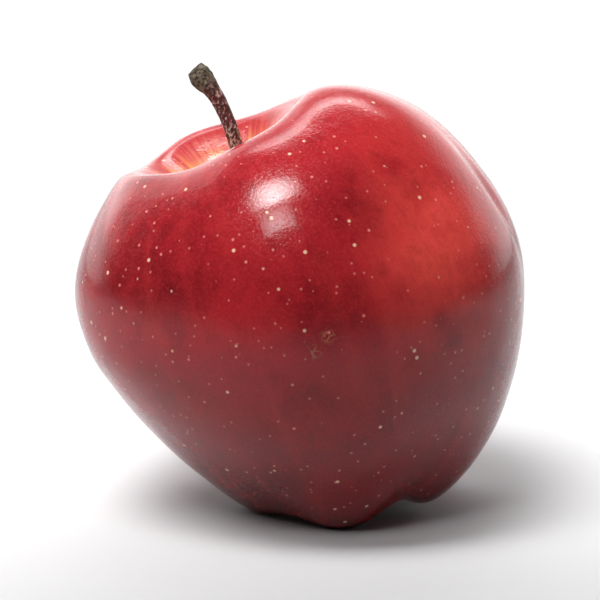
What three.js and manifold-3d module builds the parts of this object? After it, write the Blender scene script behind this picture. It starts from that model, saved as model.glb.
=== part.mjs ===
// A whole apple of the dark red, conic, five-lobed kind, as picked: the fruit, its stem, and the dried calyx in the
// basin underneath. It stands on the feet of its lobes and leans to -X. Millimetres, +Z up, and the origin is on
// the ground under the middle of the whole apple's box.

import * as THREE from 'three';
import { mergeVertices } from 'three/addons/utils/BufferGeometryUtils.js';
import Module from 'manifold-3d';

const wasm = await Module();
wasm.setup();

const degree = Math.PI / 180;

// ---- The fruit's sizes, before it leans ----

const fruitHeight = 66;      // from the feet of the lobes to the crest of the shoulders, along the core line
const widestRadius = 37.3;
const crestRadius = 18;      // the circle on which the shoulders are highest
const footRadius = 13.5;     // the circle on which the lobes touch the ground
const cavityDepth = 10;      // the hollow on top that holds the stem
const basinDepth = 10;       // the hollow underneath that holds the calyx
const leanAngle = 31.4 * degree;
const flatDepth = 0.4;       // how much of each touching lobe is pressed flat
const cavityShift = 4.6;      // how far the stem cavity lies off the core line, towards -X

// The side of the fruit from foot to crest: shares of widestRadius and of fruitHeight.
const flank = [
  [0.505, 0.04],
  [0.737, 0.2],
  [0.923, 0.41],
  [1, 0.62],
  [0.93, 0.8],
  [0.74, 0.925],
];

// The five lobes: the direction of the ridge, how far its foot is off the ground (mm), how deep the furrows are
// beside its foot (mm), how much wider its shoulder is (share of the radius), and how much higher (mm).
const lobes = [
  { ridge: -92 * degree, foot: 0, furrow: 1.8, swell: -0.03, rise: 2.8 },
  { ridge: -20 * degree, foot: 1.5, furrow: 3.2, swell: -0.09, rise: 1.9 },
  { ridge: 52 * degree, foot: 0, furrow: 2.6, swell: -0.04, rise: 0.3 },
  { ridge: 124 * degree, foot: 0, furrow: 2.6, swell: 0, rise: 4.2 },
  { ridge: 196 * degree, foot: 0, furrow: 0.8, swell: 0.035, rise: 7.2 },
];

// How far the ridges stand out, and the furrows in, from the plain round (share of the radius), and how far the
// furrows are below the crest (mm).
const ribbing = { base: 0.03, middle: 0.01, top: 0.025 };
const crestFurrow = 0.7;

// Between which shares of fruitHeight each feature fades out (feet and lowRibs) or in (the others).
const reach = {
  feet: [0, 0.35],
  lowRibs: [0, 0.5],
  swell: [0.5, 0.85],
  crest: [0.6, 1],
  shift: [0.65, 0.85],
};
const shiftRadius = 24.5;    // from the stem cavity's axis to where its shift has died away

// ---- The stem's sizes ----

const stemLength = 28.2;
const stemRootRadius = 1.35;
const stemShaftRadius = 1.12;
const stemTipRadius = 2.05;
const stemRootTilt = 0 * degree;
const stemTipTilt = 42 * degree;
const stemBend = 1.5;        // 1 bends evenly, and more bends later
const socketDepth = 2.5;     // how deep the stem's root sits in the flesh

// ---- The calyx's sizes ----

const sepalCount = 5;
const sepalTipHeight = 1.4;  // from the ground to the sepals' tips
const sepalWidth = 2.8;
const sepalTipWidth = 0.6;
const sepalThickness = 0.5;
const sepalRingRadius = 3.4;
const sepalCloseIn = 1;      // how far its middle closes in over the tuft
const sepalCurl = 2;         // how far its tip curls outwards
const sepalCup = 0.5;        // how hollow its inner face is
const tuftRadius = 1.5;
const tuftLength = 3;

const clearance = 0.35;      // between the fruit and what sits in it

// ---- Fineness ----

const fruitSegments = 60;
const fruitRows = 34;
const stemSegments = 12;
const stemRows = 14;

// ---- Colours ----

const skinMaterial = new THREE.MeshStandardMaterial({ color: '#8f1420', roughness: 0.25, metalness: 0 });
const stemMaterial = new THREE.MeshStandardMaterial({ color: '#4a2a22', roughness: 0.8, metalness: 0 });
const calyxMaterial = new THREE.MeshStandardMaterial({ color: '#5b4630', roughness: 0.95, metalness: 0 });

// ---- Helpers ----

// Rises smoothly from 0 at `from` to 1 at `to`.
function ramp(from, to, value) {
  return THREE.MathUtils.smoothstep(value, from, to);
}

// A hollow's shape: 1 on its axis, falling to 0 at its brim.
function bell(share) {
  return 0.5 + 0.5 * Math.cos(Math.PI * Math.min(share, 1));
}

// Moves every vertex of a geometry to where `place` says, and returns the geometry with fresh normals.
function reshape(geometry, place) {
  const position = geometry.getAttribute('position');
  const vertex = new THREE.Vector3();
  for (let i = 0; i < position.count; i++) {
    vertex.fromBufferAttribute(position, i);
    const placed = place(vertex);
    position.setXYZ(i, placed.x, placed.y, placed.z);
  }
  geometry.computeVertexNormals();
  return geometry;
}

// A closed geometry as a solid, and a solid as a geometry.
function solidFrom(geometry) {
  const bare = new THREE.BufferGeometry();
  bare.setAttribute('position', geometry.getAttribute('position'));
  bare.setIndex(geometry.getIndex());
  const merged = mergeVertices(bare, 1e-3);
  const vertProperties = new Float32Array(merged.getAttribute('position').array);
  const triVerts = new Uint32Array(merged.getIndex().array);
  return new wasm.Manifold(new wasm.Mesh({ numProp: 3, vertProperties, triVerts }));
}

function geometryFrom(solid) {
  const mesh = solid.getMesh();
  const geometry = new THREE.BufferGeometry();
  geometry.setAttribute('position', new THREE.BufferAttribute(mesh.vertProperties, 3));
  geometry.setIndex(new THREE.BufferAttribute(mesh.triVerts, 1));
  geometry.computeVertexNormals();
  return geometry;
}

// ---- The fruit's form ----

// A value of the five lobes, blended smoothly round the fruit.
function lobeValue(around, key) {
  let sum = 0;
  let weights = 0;
  for (const lobe of lobes) {
    const apart = Math.abs(Math.atan2(Math.sin(around - lobe.ridge), Math.cos(around - lobe.ridge)));
    const weight = Math.cos(Math.min((apart * lobes.length) / 4, Math.PI / 2)) ** 2;
    sum += weight * lobe[key];
    weights += weight;
  }
  return sum / weights;
}

// Bends the upright fruit along an arc, so that its top leans to -X while its feet stay level.
const arcRadius = fruitHeight / leanAngle;

function lean(x, y, z) {
  const turn = z / arcRadius;
  return new THREE.Vector3(
    x * Math.cos(turn) - arcRadius * (1 - Math.cos(turn)),
    y,
    x * Math.sin(turn) + arcRadius * Math.sin(turn),
  );
}

// The skin at a radius and height of the plain round form, in a direction around the core line.
function skin(radius, height, around) {
  const level = height / fruitHeight;
  const ridge = Math.cos(lobes.length * (around - lobes[0].ridge));
  const furrow = (1 - ridge) / 2;
  const low = 1 - ramp(...reach.lowRibs, level);
  const high = ramp(...reach.crest, level);
  const depth = ribbing.middle + (ribbing.base - ribbing.middle) * low + (ribbing.top - ribbing.middle) * high;
  const offAxis = ramp(0, footRadius, radius);
  const swell = lobeValue(around, 'swell') * ramp(...reach.swell, level);
  const ribbed = radius * (1 + depth * offAxis * ridge + swell);

  const atFeet = (1 - ramp(...reach.feet, level)) * offAxis;
  const atCrest = high * ramp(0, crestRadius, radius);
  const lifted =
    height +
    (lobeValue(around, 'foot') + lobeValue(around, 'furrow') * furrow) * atFeet +
    (lobeValue(around, 'rise') - crestFurrow * furrow) * atCrest;

  const shift = cavityShift * ramp(...reach.shift, level) * (1 - ramp(0, shiftRadius, radius));
  return lean(ribbed * Math.cos(around) - shift, ribbed * Math.sin(around), lifted);
}

// The plain round form: the basin, the flank, the crest and the stem cavity.
const hollowSteps = [0, 0.15, 0.35, 0.65];
const outline = new THREE.SplineCurve([
  ...hollowSteps.map((share) => new THREE.Vector2(share * footRadius, basinDepth * bell(share))),
  new THREE.Vector2(footRadius, 0),
  ...flank.map(([radius, height]) => new THREE.Vector2(radius * widestRadius, height * fruitHeight)),
  new THREE.Vector2(crestRadius, fruitHeight),
  ...hollowSteps
    .toReversed()
    .map((share) => new THREE.Vector2(share * crestRadius, fruitHeight - cavityDepth * bell(share))),
]);

const basinTop = skin(0, basinDepth, 0);
const cavityFloor = skin(0, fruitHeight - cavityDepth, 0);

function fruitForm() {
  const lathe = new THREE.LatheGeometry(outline.getPoints(fruitRows), fruitSegments);
  return reshape(lathe, ({ x, y, z }) => skin(Math.hypot(x, z), y, Math.atan2(x, z)));
}

// ---- The stem ----

// The core line of the stem: it starts at stemRootTilt from upright and bends on towards -X.
const stemRoot = new THREE.Vector3(
  cavityFloor.x + socketDepth * Math.sin(stemRootTilt),
  cavityFloor.y,
  cavityFloor.z - socketDepth * Math.cos(stemRootTilt),
);

function stemTilt(share) {
  return stemRootTilt + (stemTipTilt - stemRootTilt) * share ** stemBend;
}

function stemLine() {
  const steps = 12;
  const points = [stemRoot.clone()];
  for (let i = 0; i < steps; i++) {
    const tilt = stemTilt((i + 0.5) / steps);
    const stride = new THREE.Vector3(-Math.sin(tilt), 0, Math.cos(tilt)).multiplyScalar(stemLength / steps);
    points.push(points.at(-1).clone().add(stride));
  }
  return new THREE.CatmullRomCurve3(points);
}

// The radius along the stem, from the root through the slender shaft to the thick end that left the branch.
const stemOutline = new THREE.SplineCurve([
  new THREE.Vector2(stemRootRadius, 0),
  new THREE.Vector2(stemShaftRadius * 1.1, 0.2),
  new THREE.Vector2(stemShaftRadius, 0.45),
  new THREE.Vector2(stemShaftRadius * 1.05, 0.66),
  new THREE.Vector2(stemTipRadius * 0.66, 0.8),
  new THREE.Vector2(stemTipRadius * 0.95, 0.9),
  new THREE.Vector2(stemTipRadius, 0.96),
  new THREE.Vector2(stemTipRadius * 0.8, 1),
]);

function stemGeometry() {
  const line = stemLine();
  const sideways = new THREE.Vector3(0, 1, 0);
  const profile = [new THREE.Vector2(0, 0), ...stemOutline.getPoints(stemRows), new THREE.Vector2(0, 1)];
  const lathe = new THREE.LatheGeometry(profile, stemSegments);
  return reshape(lathe, ({ x, y, z }) => {
    const share = THREE.MathUtils.clamp(y, 0, 1);
    const forwards = sideways.clone().cross(line.getTangentAt(share));
    return line
      .getPointAt(share)
      .addScaledVector(sideways, x)
      .addScaledVector(forwards, z);
  });
}

// The hole that the stem's root stands in.
function socketGeometry() {
  const length = 2 * socketDepth + clearance;
  const socket = new THREE.CylinderGeometry(
    stemRootRadius + clearance,
    stemRootRadius + clearance,
    length,
    stemSegments,
  );
  socket.translate(0, length / 2 - clearance, 0);
  socket.rotateX(Math.PI / 2);
  socket.rotateY(-stemRootTilt);
  return socket.translate(stemRoot.x, stemRoot.y, stemRoot.z);
}

// ---- The calyx, hanging in the basin: -Z points down out of the basin ----

// How far the basin's roof, less the clearance, lies below the basin's middle at a radius.
function roofDrop(radius) {
  return clearance + basinDepth * (1 - bell(radius / footRadius));
}

const sepalRootDrop = roofDrop(sepalRingRadius + sepalThickness);
const sepalLength = basinDepth - sepalRootDrop - sepalTipHeight;

// A dried sepal: a tapering strip that grows at the ring, closes in over the tuft and curls out at its tip.
function sepalGeometry() {
  const strip = new THREE.BoxGeometry(sepalThickness, sepalWidth, sepalLength, 1, 4, 10);
  return reshape(strip, ({ x, y, z }) => {
    const along = THREE.MathUtils.clamp(0.5 - z / sepalLength, 0, 1);
    const narrowing = THREE.MathUtils.lerp(1, sepalTipWidth / sepalWidth, along ** 1.5);
    const edge = (2 * y) / sepalWidth;
    const inwards = sepalCloseIn * Math.sin(Math.PI * along) + sepalCup * edge ** 2 * narrowing;
    const outwards = sepalCurl * along ** 3;
    return new THREE.Vector3(x * narrowing - inwards + outwards, y * narrowing, z - sepalLength / 2);
  });
}

// The dried stamens and styles as one tuft, which spreads slightly at its end.
function tuftGeometry() {
  const profile = [
    [0, -tuftLength],
    [tuftRadius * 0.7, -tuftLength],
    [tuftRadius, -tuftLength * 0.85],
    [tuftRadius * 0.6, -tuftLength * 0.4],
    [tuftRadius * 0.8, 0],
    [0, 0],
  ].map(([radius, height]) => new THREE.Vector2(radius, height));
  return new THREE.LatheGeometry(profile, 10).rotateX(Math.PI / 2);
}

// ---- The apple ----

function named(name, geometry, material) {
  const mesh = new THREE.Mesh(geometry, material);
  mesh.name = name;
  return mesh;
}

const ground = new THREE.BoxGeometry(4 * widestRadius, 4 * widestRadius, fruitHeight);
ground.translate(0, 0, flatDepth - fruitHeight / 2);

const fruitSolid = solidFrom(fruitForm()).subtract(solidFrom(ground)).subtract(solidFrom(socketGeometry()));

const apple = new THREE.Group();
apple.add(named('fruit', geometryFrom(fruitSolid), skinMaterial));
apple.add(named('stem', stemGeometry(), stemMaterial));

const calyx = new THREE.Group();
calyx.position.copy(basinTop);
calyx.rotation.y = -basinDepth / arcRadius;
apple.add(calyx);

const tuft = named('stamen_tuft', tuftGeometry(), calyxMaterial);
tuft.position.z = -roofDrop(tuftRadius);
calyx.add(tuft);

for (let i = 0; i < sepalCount; i++) {
  const turn = new THREE.Group();
  turn.rotation.z = lobes[0].ridge + (i * 2 * Math.PI) / sepalCount;
  const sepal = named(`sepal_${i + 1}`, sepalGeometry(), calyxMaterial);
  sepal.position.set(sepalRingRadius, 0, -sepalRootDrop);
  turn.add(sepal);
  calyx.add(turn);
}

// The origin goes to the ground under the middle of the apple's box.
const box = new THREE.Box3().setFromObject(apple, true);
const middle = box.getCenter(new THREE.Vector3());
apple.position.set(-middle.x, -middle.y, -box.min.z);

const group = new THREE.Group();
group.add(apple);

export default group;
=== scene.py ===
"""A whole dark red apple with its stem and its dried calyx, standing on a pale floor in soft studio light.

The CAD part gives the place and the size of everything. This script makes the fine surfaces from the same
form as the CAD part, gives them their materials, and sets up the camera, the lights and the floor. Lengths
are in metres.
"""

import math

import bpy
import numpy as np
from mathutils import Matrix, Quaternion, Vector, noise


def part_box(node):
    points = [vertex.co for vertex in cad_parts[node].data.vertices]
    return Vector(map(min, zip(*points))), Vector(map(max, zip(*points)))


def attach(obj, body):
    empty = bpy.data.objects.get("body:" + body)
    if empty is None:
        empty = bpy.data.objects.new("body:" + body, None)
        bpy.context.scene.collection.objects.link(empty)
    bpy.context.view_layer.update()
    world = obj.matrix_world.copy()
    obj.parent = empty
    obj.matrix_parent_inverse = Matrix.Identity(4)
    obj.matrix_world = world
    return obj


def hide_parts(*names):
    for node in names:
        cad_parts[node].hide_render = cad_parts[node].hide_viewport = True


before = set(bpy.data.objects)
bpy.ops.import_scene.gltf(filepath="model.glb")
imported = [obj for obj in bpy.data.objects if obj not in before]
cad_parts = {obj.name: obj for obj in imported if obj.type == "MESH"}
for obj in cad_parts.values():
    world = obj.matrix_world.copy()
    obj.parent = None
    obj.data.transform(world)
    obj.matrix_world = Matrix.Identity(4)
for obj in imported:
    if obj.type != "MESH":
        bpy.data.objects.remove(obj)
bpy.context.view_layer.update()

MM = 0.001
DEGREE = math.pi / 180
TURN = 2 * math.pi

# ---- The fruit's form, as in the CAD part ----

FRUIT_HEIGHT = 66 * MM
WIDEST_RADIUS = 37.3 * MM
CREST_RADIUS = 18 * MM
FOOT_RADIUS = 13.5 * MM
CAVITY_DEPTH = 10 * MM
BASIN_DEPTH = 10 * MM
LEAN_ANGLE = 31.4 * DEGREE
FLAT_DEPTH = 0.4 * MM
CAVITY_SHIFT = 4.6 * MM
SHIFT_RADIUS = 24.5 * MM

FLANK = [(0.505, 0.04), (0.737, 0.2), (0.923, 0.41), (1, 0.62), (0.93, 0.8), (0.74, 0.925)]
HOLLOW_STEPS = [0, 0.15, 0.35, 0.65]

# Each lobe: the direction of its ridge, how far its foot is off the ground, how deep the furrows beside its
# foot are, how much wider its shoulder is (share of the radius), and how much higher.
LOBES = [
    dict(ridge=-92 * DEGREE, foot=0, furrow=1.8 * MM, swell=-0.03, rise=2.8 * MM),
    dict(ridge=-20 * DEGREE, foot=1.5 * MM, furrow=3.2 * MM, swell=-0.09, rise=1.9 * MM),
    dict(ridge=52 * DEGREE, foot=0, furrow=2.6 * MM, swell=-0.04, rise=0.3 * MM),
    dict(ridge=124 * DEGREE, foot=0, furrow=2.6 * MM, swell=0, rise=4.2 * MM),
    dict(ridge=196 * DEGREE, foot=0, furrow=0.8 * MM, swell=0.035, rise=7.2 * MM),
]
RIBBING = dict(base=0.03, middle=0.01, top=0.025)
CREST_FURROW = 0.7 * MM
REACH = dict(feet=(0, 0.35), low_ribs=(0, 0.5), swell=(0.5, 0.85), crest=(0.6, 1), shift=(0.65, 0.85))

# ---- The stem's and the calyx's form, as in the CAD part ----

STEM_LENGTH = 28.2 * MM
STEM_ROOT_RADIUS = 1.35 * MM
STEM_ROOT_TILT = 0 * DEGREE
STEM_TIP_TILT = 42 * DEGREE
STEM_BEND = 1.5
SOCKET_DEPTH = 2.5 * MM

# The stem's radius (share of the root's radius) at shares of its length.
STEM_OUTLINE = [
    (1, 0), (0.91, 0.2), (0.83, 0.45), (0.87, 0.66),
    (1, 0.8), (1.36, 0.9), (1.46, 0.945), (1.08, 1),
]

SEPAL_COUNT = 5
SEPAL_TIP_HEIGHT = 1.4 * MM
SEPAL_WIDTH = 2.8 * MM
SEPAL_THICKNESS = 0.5 * MM
SEPAL_RING_RADIUS = 3.4 * MM
SEPAL_CLOSE_IN = 1 * MM
SEPAL_CURL = 2 * MM
SEPAL_CUP = 0.5 * MM
TUFT_RADIUS = 1.5 * MM
TUFT_LENGTH = 3 * MM
CLEARANCE = 0.35 * MM


# ---- Forms ----

def ramp(start, end, value):
    """Rises smoothly from 0 at start to 1 at end."""
    t = np.clip((value - start) / (end - start), 0, 1)
    return t * t * (3 - 2 * t)


def bell(share):
    """A hollow's shape: 1 on its axis, falling to 0 at its brim."""
    return 0.5 + 0.5 * np.cos(np.pi * np.minimum(share, 1))


def spline(points, shares):
    """The Catmull-Rom curve through points, at shares of its length in points."""
    points = np.array(points, float)
    last = len(points) - 1
    place = np.asarray(shares, float) * last
    i = np.minimum(np.floor(place).astype(int), last - 1)
    w = (place - i)[:, None]
    before, here = points[np.maximum(i - 1, 0)], points[i]
    after, beyond = points[i + 1], points[np.minimum(i + 2, last)]
    v0, v1 = (after - before) / 2, (beyond - here) / 2
    return (
        (2 * here - 2 * after + v0 + v1) * w**3
        + (-3 * here + 3 * after - 2 * v0 - v1) * w**2
        + v0 * w
        + here
    )


def lobe_value(around, key):
    """A value of the five lobes, blended smoothly round the fruit."""
    total, weights = 0, 0
    for lobe in LOBES:
        apart = np.abs((around - lobe["ridge"] + np.pi) % TURN - np.pi)
        weight = np.cos(np.minimum(apart * len(LOBES) / 4, np.pi / 2)) ** 2
        total = total + weight * lobe[key]
        weights = weights + weight
    return total / weights


def lean(x, y, z):
    """Bends the upright fruit along an arc, so that its top leans to -X."""
    arc_radius = FRUIT_HEIGHT / LEAN_ANGLE
    turn = z / arc_radius
    return np.stack(
        [
            x * np.cos(turn) - arc_radius * (1 - np.cos(turn)),
            y + 0 * turn,
            x * np.sin(turn) + arc_radius * np.sin(turn),
        ],
        axis=-1,
    )


def skin(radius, height, around):
    """The skin at a radius and height of the plain round form, in a direction around the core line."""
    level = height / FRUIT_HEIGHT
    ridge = np.cos(len(LOBES) * (around - LOBES[0]["ridge"]))
    furrow = (1 - ridge) / 2
    low = 1 - ramp(*REACH["low_ribs"], level)
    high = ramp(*REACH["crest"], level)
    middle = RIBBING["middle"]
    depth = middle + (RIBBING["base"] - middle) * low + (RIBBING["top"] - middle) * high
    off_axis = ramp(0, FOOT_RADIUS, radius)
    swell = lobe_value(around, "swell") * ramp(*REACH["swell"], level)
    ribbed = radius * (1 + depth * off_axis * ridge + swell)

    at_feet = (1 - ramp(*REACH["feet"], level)) * off_axis
    at_crest = high * ramp(0, CREST_RADIUS, radius)
    lifted = (
        height
        + (lobe_value(around, "foot") + lobe_value(around, "furrow") * furrow) * at_feet
        + (lobe_value(around, "rise") - CREST_FURROW * furrow) * at_crest
    )
    shift = CAVITY_SHIFT * ramp(*REACH["shift"], level) * (1 - ramp(0, SHIFT_RADIUS, radius))
    return lean(ribbed * np.cos(around) - shift, ribbed * np.sin(around), lifted)


def fruit_outline():
    """The plain round form: the basin, the flank, the crest and the stem cavity."""
    basin = [(share * FOOT_RADIUS, BASIN_DEPTH * bell(share)) for share in HOLLOW_STEPS]
    flank = [(radius * WIDEST_RADIUS, height * FRUIT_HEIGHT) for radius, height in FLANK]
    cavity = [(share * CREST_RADIUS, FRUIT_HEIGHT - CAVITY_DEPTH * bell(share)) for share in HOLLOW_STEPS]
    return basin + [(FOOT_RADIUS, 0)] + flank + [(CREST_RADIUS, FRUIT_HEIGHT)] + cavity[::-1]


# ---- Meshes ----

def new_mesh(name, points, faces, attributes=None):
    """A smooth-shaded mesh object. attributes holds a value or a vector for each point."""
    mesh = bpy.data.meshes.new(name)
    mesh.from_pydata([tuple(p) for p in points], [], faces)
    for key, values in (attributes or {}).items():
        values = np.asarray(values, np.float32)
        kind = "FLOAT_VECTOR" if values.ndim == 2 else "FLOAT"
        layer = mesh.attributes.new(key, kind, "POINT")
        layer.data.foreach_set("vector" if values.ndim == 2 else "value", values.ravel())
    mesh.polygons.foreach_set("use_smooth", [True] * len(mesh.polygons))
    mesh.update()
    made = bpy.data.objects.new(name, mesh)
    bpy.context.scene.collection.objects.link(made)
    return made


def capped_grid_faces(rows, segments):
    """Faces of rows rings of segments points each, closed by one point at each end (first and last)."""
    faces = []
    last = 1 + rows * segments
    for j in range(segments):
        k = (j + 1) % segments
        faces.append((0, 1 + k, 1 + j))
        for i in range(rows - 1):
            low, high = 1 + i * segments, 1 + (i + 1) * segments
            faces.append((low + j, low + k, high + k, high + j))
        top = 1 + (rows - 1) * segments
        faces.append((top + j, top + k, last))
    return faces


def wave(point, size, seed):
    """Smooth noise between about -1 and 1 whose bumps are about size across."""
    return noise.noise(Vector(point) / size + Vector((seed, seed, seed)))


# ---- The fruit ----

FRUIT_ROWS = 230
FRUIT_SEGMENTS = 400

BROAD_BUMPS = (0.35 * MM, 19 * MM)      # height and size
SMALL_BUMPS = (0.07 * MM, 5.5 * MM)
CAVITY_RAYS = dict(height=0.05 * MM, around=3, size=0.33)
SMOOTH_AXIS = 0.12                      # the bumps fade out within this share of the widest radius
TINT_REACH = 1.2 * CREST_RADIUS         # how far the cavity's own colour spreads, past its brim
CREASE = dict(around=-11 * DEGREE, level=0.66, depth=0.9 * MM, width=0.055, length=0.1)


def bumps(points, height_and_size, seed):
    height, size = height_and_size
    return np.array([wave(p, size, seed) for p in points]) * height


def cavity_rays(radii, arounds, in_cavity):
    """Fine ridges that run down the cavity's wall and fade out at its floor."""
    turns = CAVITY_RAYS["around"]
    rays = [
        wave((math.cos(a) * turns, math.sin(a) * turns, r / CREST_RADIUS), CAVITY_RAYS["size"], 5)
        for a, r in zip(arounds, radii)
    ]
    fade = np.sqrt(in_cavity) * ramp(0.03, 0.25, radii / CREST_RADIUS)
    return np.array(rays) * CAVITY_RAYS["height"] * fade


def crease_depth(radii, arounds, levels):
    """A short groove down the flank."""
    apart = (arounds - CREASE["around"] + np.pi) % TURN - np.pi
    across = apart / CREASE["width"]
    along = (levels - CREASE["level"]) / CREASE["length"]
    return CREASE["depth"] * np.exp(-across ** 2 - along ** 2) * ramp(0.6, 0.8, radii / WIDEST_RADIUS)


def make_fruit():
    """The skin, and the move that puts the form where the CAD part has it."""
    profile = spline(fruit_outline(), np.linspace(0, 1, FRUIT_ROWS + 2))
    around = np.arange(FRUIT_SEGMENTS) * TURN / FRUIT_SEGMENTS
    rings = skin(profile[1:-1, :1], profile[1:-1, 1:], around[None, :])
    ends = [skin(profile[i, 0], profile[i, 1], np.array(0.0)) for i in (0, -1)]
    points = np.vstack([ends[0], rings.reshape(-1, 3), ends[1]])
    faces = capped_grid_faces(FRUIT_ROWS, FRUIT_SEGMENTS)

    # What the materials need to know at each point: its place on the plain round form.
    radii = np.concatenate([[0], np.repeat(profile[1:-1, 0], FRUIT_SEGMENTS), [0]])
    heights = np.concatenate([profile[:1, 1], np.repeat(profile[1:-1, 1], FRUIT_SEGMENTS), profile[-1:, 1]])
    arounds = np.concatenate([[0], np.tile(around, FRUIT_ROWS), [0]])
    levels = heights / FRUIT_HEIGHT
    plain = np.stack([radii * np.cos(arounds), radii * np.sin(arounds), heights], axis=-1) / WIDEST_RADIUS
    in_cavity = bell(radii / TINT_REACH) * ramp(0.7, 0.8, levels)
    in_basin = bell(radii / FOOT_RADIUS) * (1 - ramp(0.2, 0.3, levels))

    # Small unevenness of a grown skin, along its normals.
    smooth = new_mesh("smooth_skin", points, faces)
    normals = np.array([v.normal for v in smooth.data.vertices])
    bpy.data.objects.remove(smooth)
    uneven = bumps(points, BROAD_BUMPS, 3) + bumps(points, SMALL_BUMPS, 8)
    lift = uneven * ramp(0, SMOOTH_AXIS, radii / WIDEST_RADIUS)
    lift += cavity_rays(radii, arounds, in_cavity) - crease_depth(radii, arounds, levels)
    points = points + normals * lift[:, None]

    # The same place as the CAD fruit, and flat spots where the lobes touch the ground.
    low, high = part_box("fruit")
    middle = (points.min(axis=0) + points.max(axis=0)) / 2
    move = np.array([(low.x + high.x) / 2 - middle[0], (low.y + high.y) / 2 - middle[1], low.z - FLAT_DEPTH])
    points = points + move
    points[:, 2] = np.maximum(points[:, 2], low.z)

    attributes = dict(plain=plain, in_cavity=in_cavity, in_basin=in_basin, level=levels)
    return new_mesh("fruit_skin", points, faces, attributes), move


fruit, fruit_move = make_fruit()


# ---- The stem ----

STEM_ROWS = 190
SCAR_ROWS = 24              # of the stem's rows, those across the scar at its end
STEM_SEGMENTS = 60
STEM_STEPS = 400            # steps in which the core line is worked out
OUTLINE_STEPS = 300         # steps in which the outline is worked out
STEM_KNOB = (0.76, 0.9)     # where the stem swells to its thick end, as shares of its length
SCAR_EDGE = 0.94            # where the scar begins, as a share of the stem's radius at its end
SCAR_SLANT = 0.14           # how much narrower the thick end is on one side, as a share
SCAR_ROUGHNESS = 0.22 * MM
SCAR_GRAIN = 1.6 / MM       # how many bumps fit in a length
SCAR_SAG = 0.03             # how deep the scar is hollowed, as a share of the stem's length
SCAR_STAND_OUT = 0.006      # how far its rim stands past the stem's length, as a share of it

# The bark's unevenness: how fast it changes around and along the stem, and its height on the shaft and, added
# to that, on the knob.
STEM_LUMPS = dict(around=1.5, along=0.45, seed=2, shaft=0.1 * MM, knob=0.16 * MM)
STEM_BARK = [
    dict(around=2.2, along=0.22, seed=4, shaft=0.09 * MM, knob=0),
    dict(around=5, along=0.9, seed=9, shaft=0.045 * MM, knob=0),
    dict(around=4, along=1.6, seed=6, shaft=0, knob=0.2 * MM),
    STEM_LUMPS,
]


def stem_line(shares):
    """Points on the stem's core line and the direction it runs in, at shares of its length."""
    fine = (np.arange(STEM_STEPS) + 0.5) / STEM_STEPS
    tilt = STEM_ROOT_TILT + (STEM_TIP_TILT - STEM_ROOT_TILT) * fine**STEM_BEND
    steps = np.stack([-np.sin(tilt), 0 * tilt, np.cos(tilt)], axis=-1) * STEM_LENGTH / len(fine)
    floor = skin(0, FRUIT_HEIGHT - CAVITY_DEPTH, np.array(0.0))
    root = floor + SOCKET_DEPTH * np.array([math.sin(STEM_ROOT_TILT), 0, -math.cos(STEM_ROOT_TILT)])
    path = root + np.vstack([[0, 0, 0], np.cumsum(steps, axis=0)])
    marks = np.linspace(0, 1, len(path))
    points = np.stack([np.interp(shares, marks, path[:, i]) for i in range(3)], axis=-1)
    tilts = STEM_ROOT_TILT + (STEM_TIP_TILT - STEM_ROOT_TILT) * np.minimum(shares, 1)**STEM_BEND
    return points, np.stack([-np.sin(tilts), 0 * tilts, np.cos(tilts)], axis=-1)


def bark(kind, c, d, share, knob):
    """The height of one kind of unevenness, in the direction (c, d) around the stem."""
    length = share * STEM_LENGTH / MM
    place = (c * kind["around"], d * kind["around"], length * kind["along"])
    return wave(place, 1, kind["seed"]) * (kind["shaft"] + kind["knob"] * knob)


def make_stem():
    # Along the outside, then over the rim and across the hollow scar where it left the branch.
    outside = np.linspace(0, 1, STEM_ROWS - SCAR_ROWS)
    across = np.linspace(SCAR_EDGE, 0, SCAR_ROWS)[:-1]
    # The outline's points are unevenly spaced, so the radius is read off at even heights.
    outline = spline(STEM_OUTLINE, np.linspace(0, 1, OUTLINE_STEPS))
    shaft_radii = np.interp(outside, outline[:, 1], outline[:, 0]) * STEM_ROOT_RADIUS
    end_radius = shaft_radii[-1]
    radii = np.concatenate([shaft_radii, end_radius * across])
    shares = np.concatenate([outside, 1 + SCAR_STAND_OUT - SCAR_SAG * (1 - across**2)])
    on_scar = np.concatenate([0 * outside, 1 + 0 * across])
    points, ahead = stem_line(shares)
    sideways = np.array([0, 1, 0])
    forwards = np.cross(sideways, ahead)

    places = []
    for i, share in enumerate(shares):
        knob = float(ramp(*STEM_KNOB, share))
        for j in range(STEM_SEGMENTS):
            a = j * TURN / STEM_SEGMENTS
            c, d = math.cos(a), math.sin(a)
            rough = 0
            if on_scar[i]:
                radius = radii[i] * (1 - SCAR_SLANT * d)
                radius += bark(STEM_LUMPS, c, d, share, knob) * radii[i] / (SCAR_EDGE * end_radius)
                grain = radii[i] * SCAR_GRAIN
                rough = wave((c * grain, d * grain, 0), 1, 7) * SCAR_ROUGHNESS
            else:
                radius = radii[i] * (1 - SCAR_SLANT * d * knob)
                radius += sum(bark(kind, c, d, share, knob) for kind in STEM_BARK)
            places.append(points[i] + radius * (sideways * c + forwards[i] * d) + ahead[i] * rough)
    # The scar's middle, where its rings close.
    middle_share = 1 + SCAR_STAND_OUT - SCAR_SAG
    middle, middle_ahead = stem_line(np.array([middle_share]))
    closing = middle[0] + middle_ahead[0] * wave((0, 0, 0), 1, 7) * SCAR_ROUGHNESS
    places = np.vstack([points[0], places, closing]) + fruit_move
    alongs = np.concatenate([[0], np.repeat(shares, STEM_SEGMENTS), [1]])
    scars = np.concatenate([[0], np.repeat(on_scar, STEM_SEGMENTS), [1]])
    faces = capped_grid_faces(len(shares), STEM_SEGMENTS)
    return new_mesh("stem_bark", places, faces, dict(along=alongs, scar=scars))


stem = make_stem()


# ---- The dried calyx ----

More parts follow.
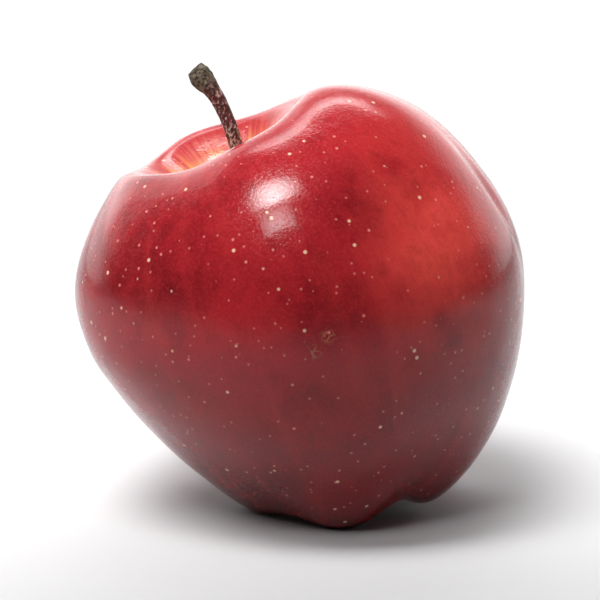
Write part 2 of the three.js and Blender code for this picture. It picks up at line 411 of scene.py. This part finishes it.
SEPAL_ROWS = 60
SEPAL_SEGMENTS = 28
SEPAL_THINNING = 0.6        # how much thinner its tip is than its root, as a share

# The ragged edges of a sepal: how fast they change along it, how far apart the two are in the noise, and how
# much they change its width.
SEPAL_EDGES = dict(along=9, apart=2, seed=8, shift=3, share=0.1)

# The wrinkles of a sepal: how fast they change across and along it, and their height.
SEPAL_FOLDS = [
    dict(across=2.1, along=1.6, seed=3, shift=5, height=0.42 * MM),
    dict(across=5, along=4, seed=5, shift=7, height=0.14 * MM),
]

STAMEN_COUNT = 22
THREAD_ROWS = 12
THREAD_SEGMENTS = 7
THREAD_HEADING = 2.4        # radians from one thread to the next, so that they spread evenly
THREAD_LENGTHS = (0.62, 0.97)               # the least and the most, as shares of the tuft's length
THREAD_BENDS = (-0.5 * MM, 0.3 * MM)        # the least and the most, outwards
THREAD_TWISTS = (-0.35, 0.35)               # the same in radians around the tuft, from root to tip
THREAD_OUT = (0.62, 0.88)                   # the outermost one's root and tip, as shares of the tuft's radius
THREAD_RADIUS = 0.16 * MM
THREAD_TAPER = 0.04 * MM
THREAD_END = dict(swell=0.17 * MM, along=0.93, width=0.07)

# The disc that the threads grow out of: radius (share of the tuft's) and height.
TUFT_DISC = [
    (0, 0), (0.5, -0.05 * MM), (0.8, -0.2 * MM),
    (0.82, -0.45 * MM), (0.6, -0.67 * MM), (0, -0.75 * MM),
]
DISC_SEGMENTS = 24
DISC_WAVINESS = 0.08


def roof_drop(radius):
    """How far the basin's roof, less the clearance, lies below the basin's middle at a radius."""
    return CLEARANCE + BASIN_DEPTH * (1 - bell(radius / FOOT_RADIUS))


def calyx_place(point):
    """A point measured from the basin's middle, with z falling towards its mouth, placed in the apple."""
    turn = BASIN_DEPTH / (FRUIT_HEIGHT / LEAN_ANGLE)
    x, y, z = point
    top = skin(0, BASIN_DEPTH, np.array(0.0))
    leaned = np.array([x * math.cos(turn) - z * math.sin(turn), y, x * math.sin(turn) + z * math.cos(turn)])
    return top + leaned + fruit_move


def sepal_width(along):
    """The width at a share of the length: it widens over the first quarter and then narrows to the tip."""
    return SEPAL_WIDTH * (0.78 + 0.5 * along - 1.15 * along**2.2)


def make_sepal(index):
    """A dried sepal: a wrinkled, tapering strip that closes in over the tuft and curls out at its tip."""
    root_drop = roof_drop(SEPAL_RING_RADIUS + SEPAL_THICKNESS)
    length = BASIN_DEPTH - root_drop - SEPAL_TIP_HEIGHT
    heading = LOBES[0]["ridge"] + index * TURN / SEPAL_COUNT
    c, d = math.cos(heading), math.sin(heading)
    rings, alongs = [], []
    for i in range(SEPAL_ROWS):
        along = (i + 0.5) / SEPAL_ROWS
        width = sepal_width(along)
        for j in range(SEPAL_SEGMENTS):
            a = j * TURN / SEPAL_SEGMENTS
            edge = math.cos(a)
            fold = 0
            for kind in SEPAL_FOLDS:
                place = (edge * kind["across"], along * kind["along"], index * kind["shift"])
                fold += wave(place, 1, kind["seed"]) * kind["height"]
            side = math.copysign(SEPAL_EDGES["apart"], edge)
            place = (along * SEPAL_EDGES["along"], side, index * SEPAL_EDGES["shift"])
            y = edge * width / 2 * (1 + SEPAL_EDGES["share"] * wave(place, 1, SEPAL_EDGES["seed"]))
            thick = 0.55 * SEPAL_THICKNESS * math.sin(a) * (1 - SEPAL_THINNING * along)
            x = thick + fold - SEPAL_CLOSE_IN * math.sin(math.pi * along) - SEPAL_CUP * edge**2
            x += SEPAL_CURL * along**3 + SEPAL_RING_RADIUS
            z = -root_drop - along * length
            rings.append(calyx_place((x * c - y * d, x * d + y * c, z)))
            alongs.append(along)
    start = np.mean(rings[:SEPAL_SEGMENTS], axis=0)
    end = np.mean(rings[-SEPAL_SEGMENTS:], axis=0)
    points = np.vstack([start, rings, end])
    faces = capped_grid_faces(SEPAL_ROWS, SEPAL_SEGMENTS)
    return new_mesh(f"sepal_{index + 1}_leaf", points, faces, dict(along=[0] + alongs + [1]))


def make_thread(heading, spread, length, bend, twist, root_height):
    """The points of one thread: its root, its rings and its tip."""
    points = []
    for row in range(-1, THREAD_ROWS + 1):
        along = min(max(row / (THREAD_ROWS - 1), 0), 1)
        out = TUFT_RADIUS * (THREAD_OUT[0] + (THREAD_OUT[1] - THREAD_OUT[0]) * along)
        out = spread * (out + bend * math.sin(math.pi * along))
        turn = heading + twist * along
        centre = np.array([out * math.cos(turn), out * math.sin(turn), root_height - length * along])
        if row in (-1, THREAD_ROWS):
            points.append(calyx_place(centre))
            continue
        swell = THREAD_END["swell"] * math.exp(-((along - THREAD_END["along"]) / THREAD_END["width"]) ** 2)
        thick = THREAD_RADIUS + swell - THREAD_TAPER * along
        for j in range(THREAD_SEGMENTS):
            a = j * TURN / THREAD_SEGMENTS
            points.append(calyx_place(centre + thick * np.array([math.cos(a), math.sin(a), 0])))
    return points


def make_disc(root_height):
    """The points of the disc that the threads grow out of."""
    points = [calyx_place((0, 0, root_height + TUFT_DISC[0][1]))]
    for share, height in TUFT_DISC[1:-1]:
        for j in range(DISC_SEGMENTS):
            a = j * TURN / DISC_SEGMENTS
            reach = share * TUFT_RADIUS * (1 + DISC_WAVINESS * math.cos(SEPAL_COUNT * a))
            points.append(calyx_place((reach * math.cos(a), reach * math.sin(a), root_height + height)))
    return points + [calyx_place((0, 0, root_height + TUFT_DISC[-1][1]))]


def make_tuft():
    """Dried stamens and styles: thin bent threads out of one disc, each with a small thick end."""
    rng = np.random.default_rng(5)
    root_height = -roof_drop(TUFT_RADIUS)
    points, faces = [], []
    for i in range(STAMEN_COUNT + 1):
        middle = i == STAMEN_COUNT
        spread = 0 if middle else math.sqrt((i + 0.5) / STAMEN_COUNT)
        length = TUFT_LENGTH * (1 if middle else rng.uniform(*THREAD_LENGTHS))
        bend = rng.uniform(*THREAD_BENDS)
        twist = rng.uniform(*THREAD_TWISTS)
        base = len(points)
        points += make_thread(i * THREAD_HEADING, spread, length, bend, twist, root_height)
        faces += [tuple(base + k for k in face) for face in capped_grid_faces(THREAD_ROWS, THREAD_SEGMENTS)]
    base = len(points)
    points += make_disc(root_height)
    faces += [tuple(base + k for k in face) for face in capped_grid_faces(len(TUFT_DISC) - 2, DISC_SEGMENTS)]
    return new_mesh("stamen_threads", points, faces)


sepals = [make_sepal(i) for i in range(SEPAL_COUNT)]
tuft = make_tuft()


# ---- Materials ----

def srgb(red, green, blue):
    """A colour given as 0 to 255 display values."""
    def linear(value):
        value /= 255
        return value / 12.92 if value <= 0.04045 else ((value + 0.055) / 1.055) ** 2.4
    return (linear(red), linear(green), linear(blue), 1)


class Shader:
    """A material's node tree, with short calls that make nodes and link them."""

    def __init__(self, name):
        self.material = bpy.data.materials.new(name)
        self.material.use_nodes = True
        self.tree = self.material.node_tree
        self.tree.nodes.clear()

    def node(self, kind, inputs=(), **settings):
        made = self.tree.nodes.new("ShaderNode" + kind)
        for key, value in settings.items():
            setattr(made, key, value)
        for key, value in dict(inputs).items():
            socket = made.inputs[key]
            if isinstance(value, bpy.types.NodeSocket):
                self.tree.links.new(value, socket)
            else:
                socket.default_value = value
        return made

    def math(self, operation, *values):
        return self.node("Math", dict(enumerate(values)), operation=operation).outputs[0]

    def vector_math(self, operation, *values):
        return self.node("VectorMath", dict(enumerate(values)), operation=operation).outputs[0]

    def attribute(self, name, output="Fac"):
        return self.node("Attribute", attribute_name=name).outputs[output]

    def ramp(self, value, start, end, low=0.0, high=1.0):
        """Rises smoothly from low to high as value goes from start to end."""
        inputs = {"Value": value, "From Min": start, "From Max": end, "To Min": low, "To Max": high}
        return self.node("MapRange", inputs, interpolation_type="SMOOTHSTEP").outputs["Result"]

    def mix(self, share, first, second, blend="MIX"):
        made = self.node("Mix", data_type="RGBA", blend_type=blend)
        for socket, value in ((made.inputs[0], share), (made.inputs[6], first), (made.inputs[7], second)):
            if isinstance(value, bpy.types.NodeSocket):
                self.tree.links.new(value, socket)
            else:
                socket.default_value = value
        return made.outputs[2]

    def noise(self, vector, scale, detail=2.0, roughness=0.5):
        inputs = {"Vector": vector, "Scale": scale, "Detail": detail, "Roughness": roughness}
        return self.node("TexNoise", inputs).outputs["Fac"]

    def bump(self, height, distance, strength=1.0, normal=None):
        inputs = {"Height": height, "Distance": distance, "Strength": strength}
        if normal:
            inputs["Normal"] = normal
        return self.node("Bump", inputs).outputs["Normal"]

    def finish(self, inputs):
        surface = self.node("BsdfPrincipled", inputs).outputs["BSDF"]
        self.node("OutputMaterial", {"Surface": surface})
        return self.material


CRIMSON = srgb(158, 31, 38)
BRIGHT_RED = srgb(218, 74, 66)
MAROON = srgb(80, 9, 17)
CAVITY_ORANGE = srgb(200, 122, 82)
CAVITY_YELLOW = srgb(208, 170, 96)
CAVITY_PINK = srgb(184, 80, 78)
PORE_CREAM = srgb(230, 188, 156)
PORE_PINK = srgb(210, 122, 112)
RUSSET = srgb(150, 104, 74)

# Patches of the skin, in the apple's own frame: the place and how far they reach. The shoulder one is painted
# light.
BRIGHT_PATCH = ((23 * MM, -25 * MM, 50 * MM), 22 * MM)
# Painted light: the top right shoulder is made lighter where the light from above falls on it.
PAINTED_LIGHT_SHOULDER = ((24 * MM, -8 * MM, 64 * MM), 26 * MM)
# Darker blotches of the skin, with painted shade in them.
DARK_BLOTCHES_AND_SHADE = [
    ((8 * MM, -29 * MM, 58 * MM), 11 * MM),
    ((4 * MM, -36 * MM, 42 * MM), 13 * MM),
    # Painted shade: this patch darkens the upper left, where the key light falls more strongly.
    ((-24 * MM, -25 * MM, 49 * MM), 24 * MM),
]
RUSSET_SPECKS = [
    ((4.7 * MM, -36.8 * MM, 38.2 * MM), 2 * MM),
    ((2.3 * MM, -36.9 * MM, 35.6 * MM), 1.8 * MM),
]
PATCH_RAGGEDNESS = 0.9      # how far noise moves a patch's edge, as a share of its reach

# The streaks: how fast they change around the core line and along it, and the noise scales of the two kinds.
STREAKS = dict(around=9, along=2.2, fine=2.6, broad=0.6)

# Pores: how far apart they are, their size, how strong they are, and a shift that keeps the kinds apart.
LARGE_PORES = dict(spacing=4.6 * MM, size=0.42 * MM, strength=0.8, shift=(0, 0, 0))
MEDIUM_PORES = dict(spacing=3.2 * MM, size=0.33 * MM, strength=0.8, shift=(0.53, 0.29, 0.41))
SMALL_PORES = dict(spacing=2.1 * MM, size=0.28 * MM, strength=0.55, shift=(0.31, 0.17, 0.23))


def pores(s, position, kind):
    """1 in a round spot and 0 between them. A spot is a ball around a random point, cut by the surface."""
    spacing, size = kind["spacing"], kind["size"]
    place = s.vector_math("ADD", position, kind["shift"])
    cells = s.node("TexVoronoi", {"Vector": place, "Scale": 1 / spacing, "Randomness": 1.0})
    return s.ramp(cells.outputs["Distance"], 0.5 * size / spacing, size / spacing, 1, 0)


def patch(s, position, place_and_reach, strength=1.0):
    """Fades from strength at a place to 0 at its reach, with a ragged edge."""
    place, reach = place_and_reach
    away = s.node("VectorMath", {0: position, 1: place}, operation="DISTANCE").outputs["Value"]
    uneven = PATCH_RAGGEDNESS * reach
    ragged = s.math("MULTIPLY", s.noise(position, 0.12 / MM, detail=4), uneven)
    away = s.math("ADD", away, s.math("SUBTRACT", ragged, uneven / 2))
    return s.ramp(away, 0.1 * reach, reach, strength, 0)


def skin_streaks(s, level):
    """Fine and broad streaks from the stem to the calyx."""
    turns = STREAKS["around"]
    plain = s.attribute("plain", "Vector")
    direction = s.vector_math("NORMALIZE", s.vector_math("MULTIPLY", plain, (1, 1, 0)))
    along = s.node("CombineXYZ", {"Z": level}).outputs[0]
    around_part = s.vector_math("MULTIPLY", direction, (turns, turns, 0))
    along_part = s.vector_math("MULTIPLY", along, (0, 0, STREAKS["along"]))
    place = s.vector_math("ADD", around_part, along_part)
    fine = s.noise(place, STREAKS["fine"], detail=5, roughness=0.62)
    return fine, s.noise(place, STREAKS["broad"], detail=2)


def skin_red(s, position, level, grain, streaks, broad_streaks):
    """The red: deep, brighter around one patch and with painted light on a shoulder, darker towards the calyx
    and in patches, partly as painted shade.
    """
    blotches = s.noise(position, 1 / (17 * MM), detail=3, roughness=0.55)
    mottle = s.noise(position, 1 / (3.5 * MM), detail=4, roughness=0.6)
    # One patch is brighter skin; the shoulder patch is painted light from above.
    bright_patch_and_painted_light = s.math("MAXIMUM", patch(s, position, BRIGHT_PATCH), patch(s, position, PAINTED_LIGHT_SHOULDER, 0.4))
    bright_patch_and_painted_light = s.math("MULTIPLY", bright_patch_and_painted_light, s.ramp(blotches, 0.3, 0.6, 0.5, 1))
    bright_patch_and_painted_light = s.math("MULTIPLY", bright_patch_and_painted_light, s.ramp(mottle, 0.3, 0.6, 0.75, 1))
    # Darker towards the calyx: partly the skin's own deeper red, partly painted shade on the lower half.
    lower_red_and_painted_shade = s.ramp(level, 0.12, 0.68, 0.85, 0)
    lower_red_and_painted_shade = s.math("MULTIPLY", lower_red_and_painted_shade, s.ramp(blotches, 0.35, 0.68, 1, 0.5))
    red = s.mix(bright_patch_and_painted_light, CRIMSON, BRIGHT_RED)
    red = s.mix(lower_red_and_painted_shade, red, MAROON)
    red = s.mix(s.ramp(blotches, 0.5, 0.72, 0, 0.5), red, MAROON)
    # Darker blotches of the skin with painted shade in them; the upper left one is wholly painted shade.
    for place in DARK_BLOTCHES_AND_SHADE:
        dark = s.math("MULTIPLY", patch(s, position, place, 0.5), s.ramp(mottle, 0.3, 0.6, 0.5, 1))
        red = s.mix(dark, red, MAROON)
    red = s.mix(s.ramp(streaks, 0.46, 0.74, 0, 0.16), red, MAROON)
    red = s.mix(s.ramp(broad_streaks, 0.52, 0.75, 0, 0.1), red, BRIGHT_RED)
    red = s.mix(s.ramp(mottle, 0.5, 0.75, 0, 0.28), red, MAROON)
    red = s.mix(s.ramp(grain, 0.45, 0.75, 0, 0.08), red, BRIGHT_RED)
    return s.mix(s.ramp(grain, 0.55, 0.25, 0, 0.1), red, MAROON)


def tint_hollows(s, red, position, in_cavity, streaks):
    """The hollows: pink, then orange, then yellow, which runs out into the red as rays."""
    in_basin = s.attribute("in_basin")
    rays = s.ramp(streaks, 0.3, 0.7, -0.2, 0.2)
    stem_side = s.math("ADD", in_cavity, s.math("MULTIPLY", rays, s.ramp(in_cavity, 0, 0.45, 0, 0.75)))
    calyx_side = s.math("ADD", in_basin, s.math("MULTIPLY", rays, s.ramp(in_basin, 0, 0.45, 0, 0.75)))
    clouds = s.noise(position, 1 / (4 * MM), detail=3)
    ground = s.mix(s.ramp(clouds, 0.4, 0.62), CAVITY_ORANGE, CAVITY_YELLOW)
    ground = s.mix(s.ramp(in_cavity, 0.35, 0.85), ground, CAVITY_YELLOW)
    colour = s.mix(s.ramp(stem_side, 0.05, 0.4, 0, 0.8), red, CAVITY_PINK)
    colour = s.mix(s.ramp(stem_side, 0.24, 0.74, 0, 0.92), colour, ground)
    return s.mix(s.ramp(calyx_side, 0.3, 0.95, 0, 0.9), colour, ground)


def add_russet(s, colour, position):
    """Two small russet specks, each a net of thin lines."""
    lines = s.math("ABSOLUTE", s.math("SUBTRACT", s.noise(position, 1 / (1.3 * MM), detail=2), 0.5))
    lines = s.ramp(lines, 0.01, 0.05, 1, 0)
    for place in RUSSET_SPECKS:
        colour = s.mix(s.math("MULTIPLY", patch(s, position, place, 0.8), lines), colour, RUSSET)
    return colour


def add_pores(s, colour, position, in_cavity, large):
    """A few large cream pores among many smaller pinkish ones, and none deep in the cavity."""
    pore_free = s.ramp(in_cavity, 0.5, 0.9, 1, 0)
    small = pores(s, position, SMALL_PORES)
    medium = pores(s, position, MEDIUM_PORES)
    kinds = [
        (small, SMALL_PORES, PORE_PINK),
        (medium, MEDIUM_PORES, PORE_PINK),
        (large, LARGE_PORES, PORE_CREAM),
    ]
    for spots, kind, pale in kinds:
        share = s.math("MULTIPLY", s.math("MULTIPLY", spots, kind["strength"]), pore_free)
        colour = s.mix(share, colour, pale)
    return colour


def skin_material():
    s = Shader("skin")
    position = s.node("TexCoord").outputs["Object"]
    in_cavity = s.attribute("in_cavity")
    level = s.attribute("level")
    grain = s.noise(position, 1 / (0.42 * MM), detail=1)
    streaks, broad_streaks = skin_streaks(s, level)
    large = pores(s, position, LARGE_PORES)
    colour = skin_red(s, position, level, grain, streaks, broad_streaks)
    colour = tint_hollows(s, colour, position, in_cavity, streaks)
    colour = add_russet(s, colour, position)
    colour = add_pores(s, colour, position, in_cavity, large)

    # A waxy surface whose fine uneven grain breaks up the reflections.
    dimples = s.noise(position, 1 / (2.6 * MM), detail=2)
    normal = s.bump(dimples, 0.09 * MM, 0.7)
    normal = s.bump(grain, 0.04 * MM, 1.0, normal)
    normal = s.bump(large, 0.04 * MM, 0.5, normal)
    return s.finish({
        "Base Color": colour,
        "Roughness": s.ramp(grain, 0.35, 0.65, 0.15, 0.27),
        "Normal": normal,
        "IOR": 1.34,
        "Coat Weight": 0.28,
        "Coat Roughness": 0.07,
        "Coat IOR": 1.45,
        "Subsurface Weight": 0.05,
        "Subsurface Radius": (1.0, 0.35, 0.2),
        "Subsurface Scale": 1.2 * MM,
    })


def use(made, material):
    made.data.materials.clear()
    made.data.materials.append(material)


BARK_BROWN = srgb(70, 36, 30)
BARK_DARK = srgb(30, 13, 14)
BARK_MAROON = srgb(96, 30, 36)
BARK_PALE = srgb(206, 176, 170)
KNOB_GREEN = srgb(106, 95, 74)
KNOB_DARK = srgb(40, 34, 26)


def stem_material():
    s = Shader("stem_wood")
    position = s.node("TexCoord").outputs["Object"]
    along = s.attribute("along")
    scar = s.attribute("scar")
    patches = s.noise(position, 1 / (2.2 * MM), detail=3, roughness=0.6)
    fine = s.noise(position, 1 / (0.5 * MM), detail=3, roughness=0.65)
    drawn_out = s.vector_math("MULTIPLY", position, (1, 1, 0.5))
    flecks = s.noise(drawn_out, 1 / (0.5 * MM), detail=3, roughness=0.7)
    colour = s.mix(s.ramp(patches, 0.4, 0.62), BARK_BROWN, BARK_MAROON)
    colour = s.mix(s.ramp(fine, 0.42, 0.68, 0, 0.85), colour, BARK_DARK)
    colour = s.mix(s.ramp(flecks, 0.52, 0.61, 0, 0.8), colour, BARK_PALE)
    knob = s.mix(s.ramp(fine, 0.44, 0.6), KNOB_GREEN, KNOB_DARK)
    uneven_along = s.math("ADD", along, s.math("MULTIPLY", patches, 0.1))
    colour = s.mix(s.ramp(uneven_along, 0.84, 0.98), colour, knob)
    colour = s.mix(s.math("MULTIPLY", scar, 0.5), colour, KNOB_DARK)
    normal = s.bump(fine, 0.2 * MM, 1.0)
    return s.finish({"Base Color": colour, "Roughness": s.ramp(fine, 0.3, 0.7, 0.55, 0.85), "Normal": normal})


DRIED_TAN = srgb(112, 88, 58)
DRIED_BROWN = srgb(78, 56, 38)
DRIED_DARK = srgb(44, 30, 22)


def calyx_material():
    s = Shader("dried_calyx")
    position = s.node("TexCoord").outputs["Object"]
    fine = s.noise(position, 1 / (0.45 * MM), detail=4, roughness=0.65)
    patches = s.noise(position, 1 / (2 * MM), detail=2)
    colour = s.mix(s.ramp(patches, 0.38, 0.62), DRIED_TAN, DRIED_BROWN)
    colour = s.mix(s.ramp(fine, 0.5, 0.7, 0, 0.7), colour, DRIED_DARK)
    return s.finish({"Base Color": colour, "Roughness": 0.9, "Normal": s.bump(fine, 0.15 * MM, 0.8)})


use(fruit, skin_material())
use(stem, stem_material())
dried = calyx_material()
for made in sepals + [tuft]:
    use(made, dried)
for made, node in [(fruit, "fruit"), (stem, "stem"), (tuft, "stamen_tuft")]:
    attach(made, "root")
    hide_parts(node)
for i, made in enumerate(sepals):
    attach(made, "root")
    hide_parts(f"sepal_{i + 1}")


# ---- The camera ----

CAMERA_LENS = 200            # in mm, as Blender takes it
CAMERA_SENSOR = 36           # in mm too
CAMERA_ELEVATION = 13 * DEGREE
CAMERA_VIEW = 101.85 * MM    # how wide a strip the picture shows at the apple
CAMERA_AIM = (0, 0.3 * MM, 35.6 * MM)

camera_data = bpy.data.cameras.new("camera")
camera_data.lens = CAMERA_LENS
camera_data.sensor_width = CAMERA_SENSOR
camera_data.clip_start = 0.01
camera = bpy.data.objects.new("camera", camera_data)
bpy.context.scene.collection.objects.link(camera)
distance = CAMERA_VIEW * CAMERA_LENS / CAMERA_SENSOR
towards = Vector((0, -math.cos(CAMERA_ELEVATION), math.sin(CAMERA_ELEVATION)))
camera.location = Vector(CAMERA_AIM) + towards * distance
camera.rotation_euler = towards.to_track_quat("Z", "Y").to_euler()
bpy.context.scene.camera = camera


# ---- Floor and light ----

FLOOR_SIZE = 6.0
FLOOR_GREY = (0.54, 0.54, 0.545, 1)

# How the world's brightness changes with a direction's Y (away from the camera) and Z (up): from one value of
# it to another, the brightness goes from the third number to the fourth. The two are multiplied.
WORLD_FADES = [("Y", 0.22, 0.52, 0.05, 2.4), ("Z", 0.3, 0.7, 1.0, 0.1)]


def make_floor():
    half = FLOOR_SIZE / 2
    corners = [(-half, -half, 0), (half, -half, 0), (half, half, 0), (-half, half, 0)]
    floor = new_mesh("floor", corners, [(0, 1, 2, 3)])
    s = Shader("floor_white")
    paint = s.finish({"Base Color": FLOOR_GREY, "Roughness": 0.9, "Specular IOR Level": 0.1})
    floor.data.materials.append(paint)


def softbox(name, azimuth, elevation, away, size, power, aim=(0, 0, 0.04), spread=180, roll=0):
    """A rectangular light. Azimuth 0 is behind the camera and 90 to the right. Roll turns it in its plane."""
    light = bpy.data.lights.new(name, "AREA")
    light.shape = "RECTANGLE"
    light.size, light.size_y = size
    light.energy = power
    light.spread = spread * DEGREE
    made = bpy.data.objects.new(name, light)
    bpy.context.scene.collection.objects.link(made)
    a, e = azimuth * DEGREE, elevation * DEGREE
    direction = Vector((math.sin(a) * math.cos(e), -math.cos(a) * math.cos(e), math.sin(e)))
    made.location = Vector(aim) + direction * away
    turn = Quaternion((0, 0, 1), roll * DEGREE)
    made.rotation_euler = (direction.to_track_quat("Z", "Y") @ turn).to_euler()
    return made


def make_world():
    """White on the far side near the horizon, and dim on the camera's side and above, like a backdrop."""
    world = bpy.data.worlds.new("studio")
    world.use_nodes = True
    tree = world.node_tree
    tree.nodes.clear()
    coords = tree.nodes.new("ShaderNodeTexCoord")
    split = tree.nodes.new("ShaderNodeSeparateXYZ")
    tree.links.new(coords.outputs["Generated"], split.inputs[0])
    fades = []
    for axis, start, end, low, high in WORLD_FADES:
        fade = tree.nodes.new("ShaderNodeMapRange")
        fade.interpolation_type = "SMOOTHSTEP"
        for key, value in zip(("From Min", "From Max", "To Min", "To Max"), (start, end, low, high)):
            fade.inputs[key].default_value = value
        tree.links.new(split.outputs[axis], fade.inputs["Value"])
        fades.append(fade.outputs["Result"])
    both = tree.nodes.new("ShaderNodeMath")
    both.operation = "MULTIPLY"
    background = tree.nodes.new("ShaderNodeBackground")
    output = tree.nodes.new("ShaderNodeOutputWorld")
    tree.links.new(fades[0], both.inputs[0])
    tree.links.new(fades[1], both.inputs[1])
    tree.links.new(both.outputs[0], background.inputs["Strength"])
    tree.links.new(background.outputs[0], output.inputs[0])
    bpy.context.scene.world = world


make_floor()
make_world()
KEY = dict(aim=(0, 0.04, 0.06), spread=45)
BACKDROP = dict(aim=(0, 0.61, 0), spread=62)
softbox("key", azimuth=-42, elevation=68, away=0.62, size=(0.86, 0.2), power=1.1, roll=50, **KEY)
softbox("key_low", azimuth=-18, elevation=47, away=0.7, size=(0.38, 0.22), power=0.2, roll=30, **KEY)
softbox("side", azimuth=-138, elevation=28, away=0.8, size=(0.5, 0.5), power=1.1)
softbox("backdrop", azimuth=180, elevation=75, away=1.0, size=(1.4, 0.6), power=6.5, **BACKDROP)
bpy.context.scene.view_settings.view_transform = "Standard"
